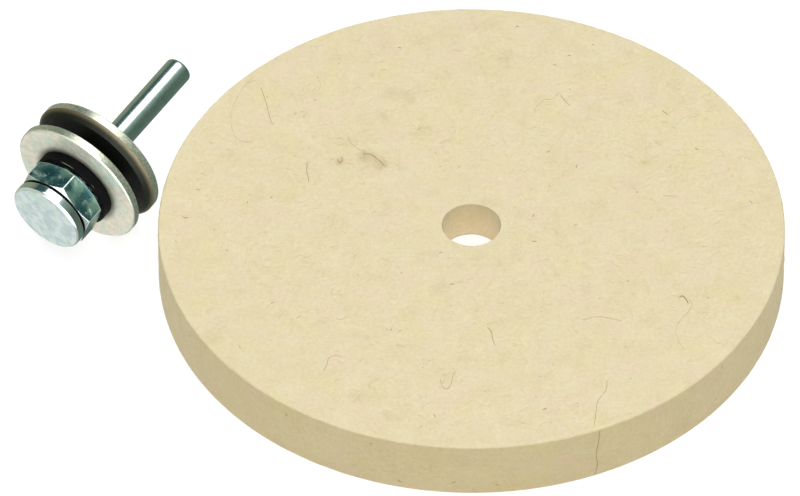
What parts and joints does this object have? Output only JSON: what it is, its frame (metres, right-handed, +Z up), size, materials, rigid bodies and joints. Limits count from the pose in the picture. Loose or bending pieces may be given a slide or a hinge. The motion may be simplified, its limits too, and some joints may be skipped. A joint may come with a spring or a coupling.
{
  "type": "felt polishing wheel",
  "caption": "Round hard-felt polishing wheel with a centre bore and an underside flange seat, with its flanged drill arbor and capped hex nut.",
  "frame": {"origin": "on the wheel's bore axis, at the flange seat under the felt, where the bore wall begins", "axes": "+Z up along the wheel's bore axis; the wheel lies flat with its seat side down, and the arbor lies beside it on the -X side"},
  "size_m": [0.2153, 0.175, 0.0412],
  "materials": {
    "felt": "cream pressed wool felt, slightly hairy",
    "polished_steel": "polished",
    "zinc_plated_steel": "satin zinc plating with a faint yellow-green passivation",
    "black_spring_steel": "black oxide",
    "nut_steel": "bright drawn steel, lightly scratched",
    "brushed_cap": "fine turned face"
  },
  "bodies": {
    "wheel": {"felt_wheel": "felt"},
    "spindle": {"spindle": "polished_steel", "rear_flange": "zinc_plated_steel"},
    "front_flange": {"front_flange": "zinc_plated_steel", "lock_washer": "black_spring_steel"},
    "cap_nut": {"hex_nut": "nut_steel", "nut_cap": "brushed_cap"}
  },
  "joints": [
    {"name": "arbor_lift", "type": "slide", "parent": "wheel", "child": "spindle", "axis": [0, 0, 1], "range_m": [0, 0.1]},
    {"name": "flange_slide", "type": "slide", "parent": "spindle", "child": "front_flange", "axis": [-0.5863, -0.7952, -0.1547], "range_m": [0, 0.00728]},
    {"name": "nut_turn", "type": "hinge", "parent": "front_flange", "child": "cap_nut", "pos_m": [-0.11455, 0.00908, 0.01262], "axis": [-0.5863, -0.7952, -0.1547], "range_deg": [0, 1746.1]}
  ],
  "couplings": [
    {"joint": "nut_turn", "follows": "flange_slide", "rad_per_m": 4188.8}
  ]
}
